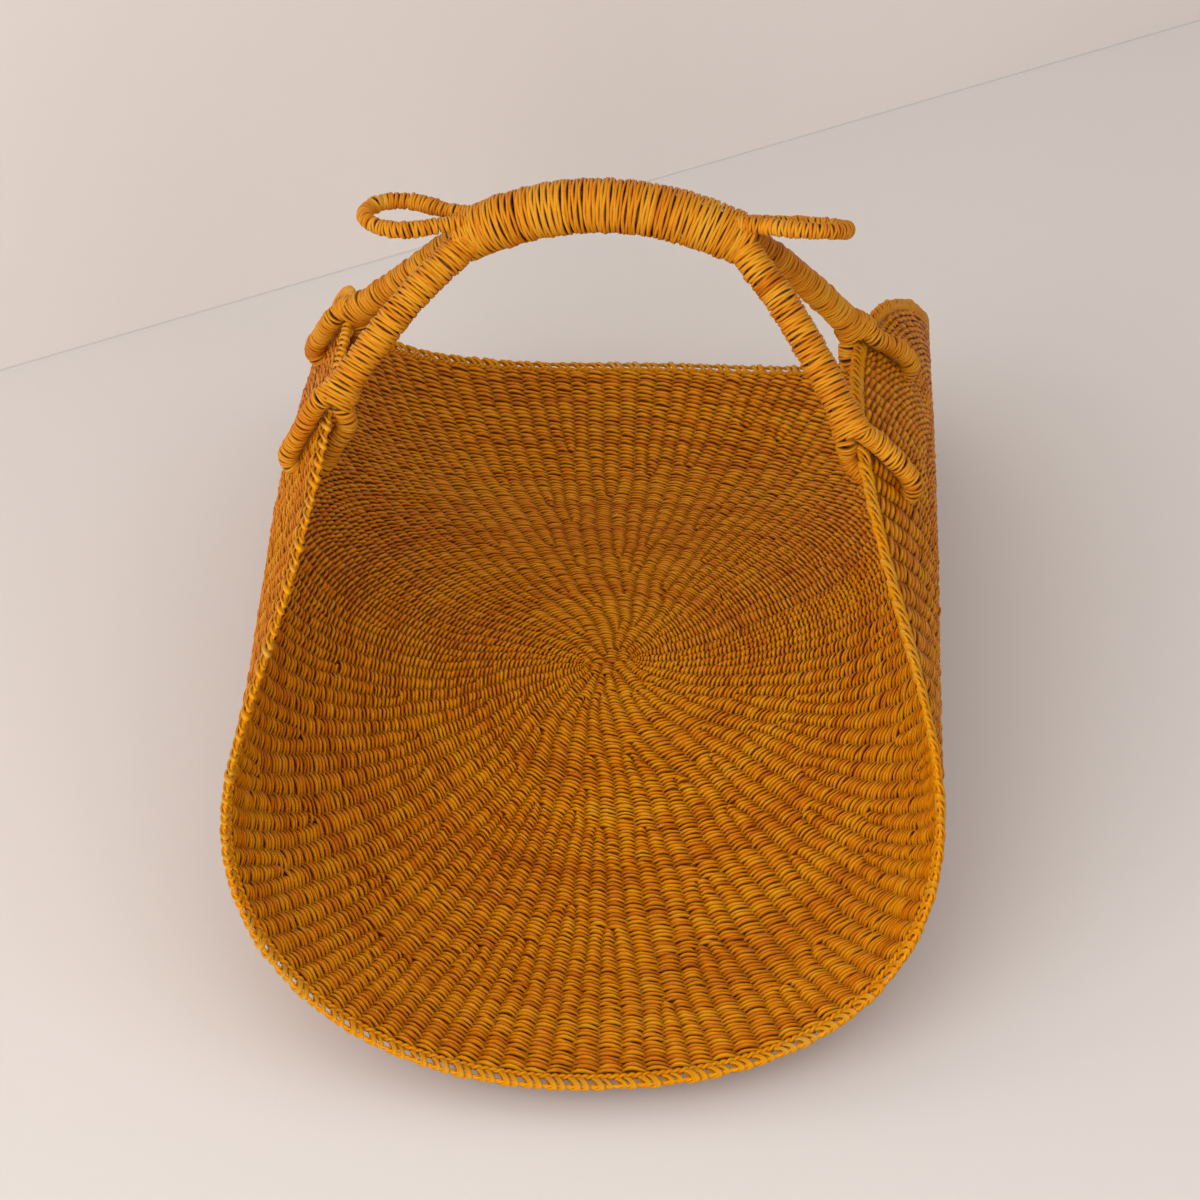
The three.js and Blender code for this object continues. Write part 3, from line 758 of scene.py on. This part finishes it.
def smooth_path(points, samples):
    """A curve through points. With h the chord after a point, the second derivatives m of a cubic
    spline over chord length solve h[i-1] m[i-1] + 2 (h[i-1] + h[i]) m[i] + h[i] m[i+1] = 6 times
    the change of slope. The curve is then sampled at equal distances."""
    points = np.asarray(points, float)
    chord = np.linalg.norm(np.diff(points, axis=0), axis=1)
    knot = np.concatenate([[0], np.cumsum(chord)])
    n = len(points)
    matrix, side = np.eye(n), np.zeros((n, 3))
    for i in range(1, n - 1):
        before, after = chord[i - 1], chord[i]
        matrix[i, i - 1 : i + 2] = before, 2 * (before + after), after
        side[i] = 6 * ((points[i + 1] - points[i]) / after - (points[i] - points[i - 1]) / before)
    bend = np.linalg.solve(matrix, side)
    t = np.linspace(0, knot[-1], samples * FINER)
    i = np.clip(np.searchsorted(knot, t, side="right") - 1, 0, n - 2)
    h = chord[i][:, None]
    b = (t - knot[i])[:, None] / h
    a = 1 - b
    curve = a * points[i] + b * points[i + 1]
    curve += ((a**3 - a) * bend[i] + (b**3 - b) * bend[i + 1]) * h**2 / 6
    gone = np.concatenate([[0], np.cumsum(np.linalg.norm(np.diff(curve, axis=0), axis=1))])
    return between_rows(np.linspace(0, gone[-1], samples), gone, curve), gone[-1]


GRIP_LEFT = np.array([-62.0, 0, 299])
GRIP_RIGHT = np.array([72.0, 0, 296])
GRIP_TOP = 315.0
GRIP_RADIUS = 13.8


def grip_point(share):
    """The grip's middle line: a straight line from end to end, raised by a parabola."""
    share = np.asarray(share, float)[..., None]
    rise = GRIP_TOP - (GRIP_LEFT[2] + GRIP_RIGHT[2]) / 2
    line = GRIP_LEFT + (GRIP_RIGHT - GRIP_LEFT) * share
    return line + np.array([0, 0, rise]) * (1 - (2 * share - 1) ** 2)


FEET = {
    "right_front": dict(side=1, sign=-1, rim=-8.6, bow=4.5, above=9, lean=4.5),
    "right_back": dict(side=1, sign=1, rim=7.9, bow=2.5, above=7, lean=5),
    "left_front": dict(side=-1, sign=-1, rim=187.2, bow=4, above=9, lean=1.5),
    "left_back": dict(side=-1, sign=1, rim=172.4, bow=-1, above=7, lean=1),
}
HOLES = {
    "right_front": (-10.8, 0.9),
    "right_back": (11, 0.9),
    "left_front": (188, 0.88),
    "left_back": (168.6, 0.9),
}
LEG_APART = {-1: 5.35, 1: 5.85}
LEG_RADIUS = {-1: 8.3, 1: 7.6}
LEG_BOWS = [(0.1, 0.3), (0.25, 0.75), (0.45, 1), (0.7, 0.8)]
BOW_OUT, BOW_UP = 0.6, 0.8
STAND_OFF = 9.2
STAND_SHIFT = 0.9


def rim_polar(radius, degrees, raised):
    """A point on the bent mat in mm by radius, angle in degrees and height."""
    angle = np.radians(degrees)
    return mat_point(radius * np.cos(angle), radius * np.sin(angle), raised) / MM


for foot in FEET.values():
    grip_end = GRIP_LEFT if foot["side"] < 0 else GRIP_RIGHT
    foot["top"] = grip_end + (0, foot["sign"] * LEG_APART[foot["sign"]], 0)
    foot["end"] = rim_polar(1 + foot["above"] / MAT_RADIUS, foot["rim"], -foot["lean"])
    foot["down"] = foot["end"] - foot["top"]
    outward = np.array([foot["side"] * BOW_OUT, 0, BOW_UP]) * foot["bow"]
    foot["path"] = [foot["top"] + foot["down"] * share + outward * bow for share, bow in LEG_BOWS]
print("legs end at", [foot["end"].round(1).tolist() for foot in FEET.values()])

# %% [markdown]
# ## Wrapping
#
# A wrapped part is one long coil of straw round a path. Two directions square to the path carry
# the coil round, and the straw's own cross-section is a flat oval, broad along the path. Hands
# don't wrap evenly, so each turn leans, sits and swells a little differently. Turns also pull
# together in pairs, here with the one before and there with the one after, which leaves rows of
# small dark slots. One wave along the coil does that if it makes a whole number and a half of
# swings in each turn.

# %% Coil builder
PATH_SAMPLES = 600
PAIRING = 0.17
WOUND_TONE = 0.55
WOUND_HALF = 0.6
WOUND_OPEN, WOUND_LIT = 0.25, 0.75
WOUND_SPLICES = dict(shortest=2, longest=7, spread=0.06)
SLIDE_OFF, FINE_OFF, LEVEL_OFF, TILT_OFF, HALF_OFF, DYE_OFF = 0.1, 0.08, 0.3, 0.5, 0.1, 0.07
FINE_MARKS = 5
INNER_DEPTH = 3.5
SPREAD_FROM, SPREAD_OVER = 0.8, 0.2
STRIP_RINGS = 400


def coil(path_points, side_axis, radius, pitch, *, lean, seed, thick=1.7, steps=24, swings=2.5,
         spread=None):
    """A wound straw. With w turns made and a = 2 pi w, the middle is path(w * pitch) + radius *
    (cos(a) * first + sin(a) * second), and it slides along the path by PAIRING * pitch *
    cos(swings * a). lean tips each turn along the path, and spread, a vector, makes the end of
    the part oval along it. The straw's section is drawn inwards by INNER_DEPTH, down to the core,
    so that nothing shows between two turns but straw."""
    local = np.random.default_rng(seed)
    path, length = smooth_path(path_points, PATH_SAMPLES)
    turns = length / pitch
    w = np.linspace(0, turns, int(turns * steps) + 1)
    share = w / turns
    count = int(turns) + 3
    own = [np.interp(w, np.arange(count), local.normal(0, 1, count)) for _ in range(5)]
    fine_count = FINE_MARKS * count
    fine = np.interp(w * FINE_MARKS, np.arange(fine_count), local.normal(0, 1, fine_count))
    angle = 2 * np.pi * w
    slide = SLIDE_OFF * own[0] + FINE_OFF * fine + PAIRING * np.cos(swings * angle)
    marks = np.linspace(0, 1, len(path))
    where = np.clip(share + slide * pitch / length, 0, 1)
    centre = between_rows(where, marks, path)
    ahead = between_rows(where, marks, np.gradient(path, axis=0))
    ahead /= np.linalg.norm(ahead, axis=1, keepdims=True)
    first = np.cross(np.asarray(side_axis, float), ahead)
    first /= np.linalg.norm(first, axis=1, keepdims=True)
    second = np.cross(ahead, first)
    out = np.cos(angle)[:, None] * first + np.sin(angle)[:, None] * second
    around = radius(share) if callable(radius) else np.full_like(w, radius)
    level = around - thick / 2 + LEVEL_OFF * own[1]
    middle = centre + out * level[:, None]
    if spread is not None:
        late = np.clip((share - SPREAD_FROM) / SPREAD_OVER, 0, 1) ** 2
        middle += spread * ((out @ spread) / np.linalg.norm(spread) * late)[:, None]
    tilt = lean(share) if callable(lean) else lean
    middle += ahead * ((tilt + TILT_OFF * own[2]) * np.sin(angle))[:, None]
    half = pitch * WOUND_HALF * (1 + HALF_OFF * own[3])
    depth = thick / 2 * np.sin(RING) * np.where(np.sin(RING) < 0, INNER_DEPTH, 1)
    grid = (
        middle[:, None]
        + ahead[:, None] * (half[:, None] * np.cos(RING))[..., None]
        + out[:, None] * depth[:, None]
    )
    tone = WOUND_TONE + spliced(count, **WOUND_SPLICES)[np.minimum(w.astype(int), count - 1)]
    tone += DYE_OFF * own[4]
    # Painted shade: each turn is darker on its inner side, towards the core, and lighter on its
    # outer side.
    open_to_light = np.clip(WOUND_OPEN + WOUND_LIT * np.sin(RING), 0, 1)
    distance = w * 2 * np.pi * np.mean(around)
    return grid * MM, distance, {"tone": tone[:, None], "open": open_to_light}


HANDLE_TONES = [
    (0.0, paint("94480a")),
    (0.3, paint("bc660e")),
    (0.5, paint("d08018")),
    (0.7, paint("d89422")),
    (0.85, paint("cf9836")),
    (1.0, paint("dcb060")),
]
HANDLE_GRASS = grass("handle_grass", HANDLE_TONES)


def wound_piece(name, wound, node):
    """Makes a coil into a piece that stands for a winding of the CAD model."""
    place(name, tube_mesh(name, [wound], [STRIP_RINGS]), HANDLE_GRASS, [node], "handle_grass")


# %% Grip
GRIP_PITCH = 1.65
GRIP_PAST = 0.04
GRIP_TAPER = 0.06
GRIP_LEAN, GRIP_MORE_LEAN = 0.4, 2.6
ACROSS = (0, 1, 0)


def grip_radius(share):
    """The grip is fullest in its middle and draws in a little at both ends: GRIP_RADIUS * (1 -
    GRIP_TAPER * |2 share - 1|^3)."""
    return GRIP_RADIUS * (1 - GRIP_TAPER * np.abs(2 * share - 1) ** 3)


def grip_lean(share):
    """Its turns lean more and more towards the right end, with the square of share."""
    return GRIP_LEAN + GRIP_MORE_LEAN * share**2


grip_path = grip_point(np.linspace(-GRIP_PAST, 1 + GRIP_PAST, 12))
grip_coil = coil(grip_path, ACROSS, grip_radius, GRIP_PITCH, lean=grip_lean, seed=3, steps=36,
                 swings=3.5)
wound_piece("grip_wrap", grip_coil, "grip_winding")

# %% [markdown]
# ## Legs and feet
#
# A leg grows oval just above the rim, because two strands leave it there side by side. They are
# really one: down inside the wall, round through a hole, and up again outside.

# %% Legs and feet
LEG_PITCH, FOOT_PITCH = 1.7, 1.65
LEG_ROOTS = {-1: 0.04, 1: 0.96}
ROOTS_APART = 0.8
LEG_SPREAD = 3.4
STRAND_RADIUS = 5.6
ENDS_UP, ENDS_OFF = 0.08, 4
INSIDE_OFF, OUTSIDE_OFF = 6.2, 5.4


def strand_path(name, foot):
    """A foot's strand: from inside the leg's end down the wall's inner face, half a circle through
    the hole, and up the outer face to the leg again."""
    degrees, reach = HOLES[name]
    centre = reach + STAND_OFF / MAT_RADIUS

    def wall(radius):
        """The angle in degrees at which the strand lies at a radius."""
        share = min((radius - reach) / (1 - reach), 1)
        return degrees + (foot["rim"] - degrees) * share

    def run(radius, sign):
        """A point of the strand along the wall, inside (1) or outside (-1) of it."""
        return rim_polar(radius, wall(radius), STAND_SHIFT + sign * STAND_OFF)

    middle = rim_polar(centre, wall(centre), STAND_SHIFT)
    inward = rim_polar(centre, wall(centre), STAND_SHIFT + 1) - middle
    down = rim_polar(reach, degrees, 0.0) - middle
    down /= np.linalg.norm(down)
    bend = [
        middle - inward * STAND_OFF * np.sin(a) + down * STAND_OFF * np.cos(a)
        for a in np.radians([-60, -30, 0, 30, 60])
    ]
    start = foot["end"] - foot["down"] * ENDS_UP
    inside = [start + foot["inward"] * ENDS_OFF, foot["end"] + foot["inward"] * INSIDE_OFF]
    outside = [foot["end"] - foot["inward"] * OUTSIDE_OFF, start - foot["inward"] * ENDS_OFF]
    levels = [1.0, (centre + 1) / 2, centre]
    inside += [run(level, 1) for level in levels]
    return [*inside, *bend, *[run(level, -1) for level in levels[::-1]], *outside]


for number, (name, foot) in enumerate(FEET.items()):
    apart = foot["sign"] * LEG_APART[foot["sign"]]
    root = grip_point(LEG_ROOTS[foot["side"]]) + (0, apart * ROOTS_APART, 0)
    foot["inward"] = rim_polar(1.0, foot["rim"], 1.0) - rim_polar(1.0, foot["rim"], 0.0)
    leg_points = [root, foot["top"], *foot["path"], foot["end"]]
    leg_coil = coil(leg_points, ACROSS, LEG_RADIUS[foot["sign"]], LEG_PITCH, lean=1.2,
                    seed=10 + number, spread=foot["inward"] * LEG_SPREAD)
    wound_piece(f"{name}_leg_wrap", leg_coil, f"{name}_leg_winding")
    foot_coil = coil(strand_path(name, foot), ACROSS, STRAND_RADIUS, FOOT_PITCH, lean=0.8,
                     seed=20 + number, steps=20, swings=1.5)
    wound_piece(f"{name}_foot_wrap", foot_coil, f"{name}_foot_winding")

# %% [markdown]
# ## Ears
#
# An ear is a flat loop: out from the grip's end on one side of its middle line, round its tip and
# back on the other side. The stops give how far out a point lies and how far to the side, both as
# shares. The right ear is tipped, so that it is seen nearly edge-on.

# %% Ears
EARS = {
    "left": dict(side=-1, tip=np.array([-116.0, 6, 307]), half=14.0, lean=0.0),
    "right": dict(side=1, tip=np.array([125.0, 0, 301]), half=13.0, lean=-24.0),
}
EAR_RADIUS = 4.3
EAR_PITCH = 1.6
EAR_RISE, EAR_OUT = 8.5, 2

for number, (name, ear) in enumerate(EARS.items()):
    grip_end = GRIP_LEFT if ear["side"] < 0 else GRIP_RIGHT
    root = grip_end + (ear["side"] * EAR_OUT, 0, EAR_RISE)
    lean = math.radians(ear["lean"])
    width = np.array([0, math.cos(lean), math.sin(lean)])
    share = 1 - ear["half"] / abs(ear["tip"][0] - root[0])
    near_tip = (1 + share) / 2 + 0.05 * (1 - share)
    stops = [(-0.12, 0.3), (0.22, 0.52), (0.5, 0.95), (share, 1.0), (near_tip, 0.78)]
    one, two = (
        [root + (ear["tip"] - root) * s + width * side * ear["half"] * w for s, w in stops]
        for side in (1, -1)
    )
    side_axis = np.cross(width, (1, 0, 0))
    ear_coil = coil([*one, ear["tip"], *two[::-1]], side_axis, EAR_RADIUS, EAR_PITCH, lean=0.5,
                    seed=30 + number, steps=18, swings=1.5, thick=1.5)
    wound_piece(f"{name}_ear_wrap", ear_coil, f"{name}_ear_winding")

# %% [markdown]
# ## Cores
#
# The bundles inside the wrapping hardly show, but they keep the wrapped parts from being hollow
# between two turns. Their shapes come from CAD and only get a straw finish.

# %% Straw finish for the cores


def straw_core():
    """Plain dry straw: a ramp over noise in the object's own coordinates."""
    finish = Finish("straw_core")
    place_in = finish.node("TexCoord", None, 3)
    noise = finish.node("TexNoise", None, 0, Vector=place_in, Scale=300.0, Detail=3.0)
    stops = [(0.3, paint("74450f")), (0.7, paint("a8701c"))]
    colour = finish.node("ValToRGB", {"ramp": stops}, 0, Fac=noise)
    bump = finish.node("Bump", None, 0, Height=noise, Strength=0.4, Distance=0.0005)
    finish.set(Base_Color=colour, Normal=bump, Roughness=0.8)
    return finish.material


CORE = straw_core()
for name in ("front_hoop_core", "back_hoop_core", "ear_loop_core"):
    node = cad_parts[name]
    node.data.materials.clear()
    node.data.materials.append(CORE)
print("cores keep their CAD shapes")

# %% [markdown]
# ## Floor, wall and light
#
# The basket stands on a plain pale floor in front of a plain wall. Soft daylight comes from broad
# windows in front, mostly at the left, and weaker light from above, from the right and from all
# round keeps the shadows pale. A thin darker strip along the foot of the wall stands for the joint
# of the floor and the wall, and is partly painted shade in that corner.

# %% Stage
WALL_FOOT = Vector((-0.041, 0.559, 0))
WALL_ALONG = Vector((0.858, 0.514, 0))
FAR = 8
WALL_HEIGHT = 5
JOINT_STEP = Vector((0.3, -0.5, 0)) * 0.002
JOINT_HEIGHT = 0.0012
FLOOR_COLOUR = (0.715, 0.672, 0.645)
WALL_COLOUR = (0.71, 0.652, 0.616)
JOINT_SHADE_COLOUR = (0.58, 0.55, 0.53)


def flat_piece(name, corners, colour):
    """One plain face with a matt finish, for the floor, the wall or the strip at its foot. It is
    clear from its back, so a camera behind the wall or under the floor still sees the basket."""
    mesh = bpy.data.meshes.new(name)
    mesh.from_pydata(corners, [], [(0, 1, 2, 3)])
    piece = bpy.data.objects.new(name, mesh)
    bpy.context.scene.collection.objects.link(piece)
    finish = Finish(name)
    finish.set(Base_Color=(*colour, 1), Roughness=0.9, Specular_IOR_Level=0.2)
    finish.clear_from_behind()
    mesh.materials.append(finish.material)


def upright_piece(name, left, right, height, colour):
    """A flat piece that stands on the line from left to right."""
    up_there = Vector((0, 0, height))
    flat_piece(name, [left, right, right + up_there, left + up_there], colour)


floor_corners = [(-FAR, -FAR, 0), (FAR, -FAR, 0), (FAR, FAR, 0), (-FAR, FAR, 0)]
flat_piece("floor", floor_corners, FLOOR_COLOUR)
left_foot, right_foot = WALL_FOOT - FAR * WALL_ALONG, WALL_FOOT + FAR * WALL_ALONG
upright_piece("wall", left_foot, right_foot, WALL_HEIGHT, WALL_COLOUR)
near_left, near_right = (foot + JOINT_STEP for foot in (left_foot, right_foot))
# The joint strip is partly painted shade: its darker colour stands for the shade in the corner as
# well as for the joint.
upright_piece("joint", near_left, near_right, JOINT_HEIGHT, JOINT_SHADE_COLOUR)

SKY_COLOUR, SKY_STRENGTH = (1.0, 0.98, 0.96), 0.42
WINDOW_COLOUR = (1.0, 0.99, 0.97)
LIT_PLACE = Vector((0, 0, 0.1))

world = bpy.data.worlds.new("sky")
bpy.context.scene.world = world
world.use_nodes = True
sky = world.node_tree.nodes["Background"]
sky.inputs[0].default_value = (*SKY_COLOUR, 1)
sky.inputs[1].default_value = SKY_STRENGTH


def lamp(name, stands, size, power, colour):
    """A square lamp, size m wide and power W strong, turned towards the basket."""
    data = bpy.data.lights.new(name, "AREA")
    data.size, data.energy, data.color = size, power, colour
    made = bpy.data.objects.new(name, data)
    turn = (LIT_PLACE - Vector(stands)).to_track_quat("-Z", "Y").to_matrix().to_4x4()
    made.matrix_world = Matrix.Translation(stands) @ turn
    bpy.context.scene.collection.objects.link(made)


lamp("window", (-1.5, -2.3, 1.1), 2.6, 54, WINDOW_COLOUR)
lamp("side_window", (-0.2, -2.8, 1.2), 4.0, 31, WINDOW_COLOUR)
lamp("ceiling", (0.1, -1.5, 2.7), 4.0, 21, (1.0, 0.99, 0.98))
lamp("room", (1.8, -1.5, 2.0), 3.0, 16, SKY_COLOUR)
bpy.context.scene.view_settings.view_transform = "Standard"
print("floor, wall and light are set")
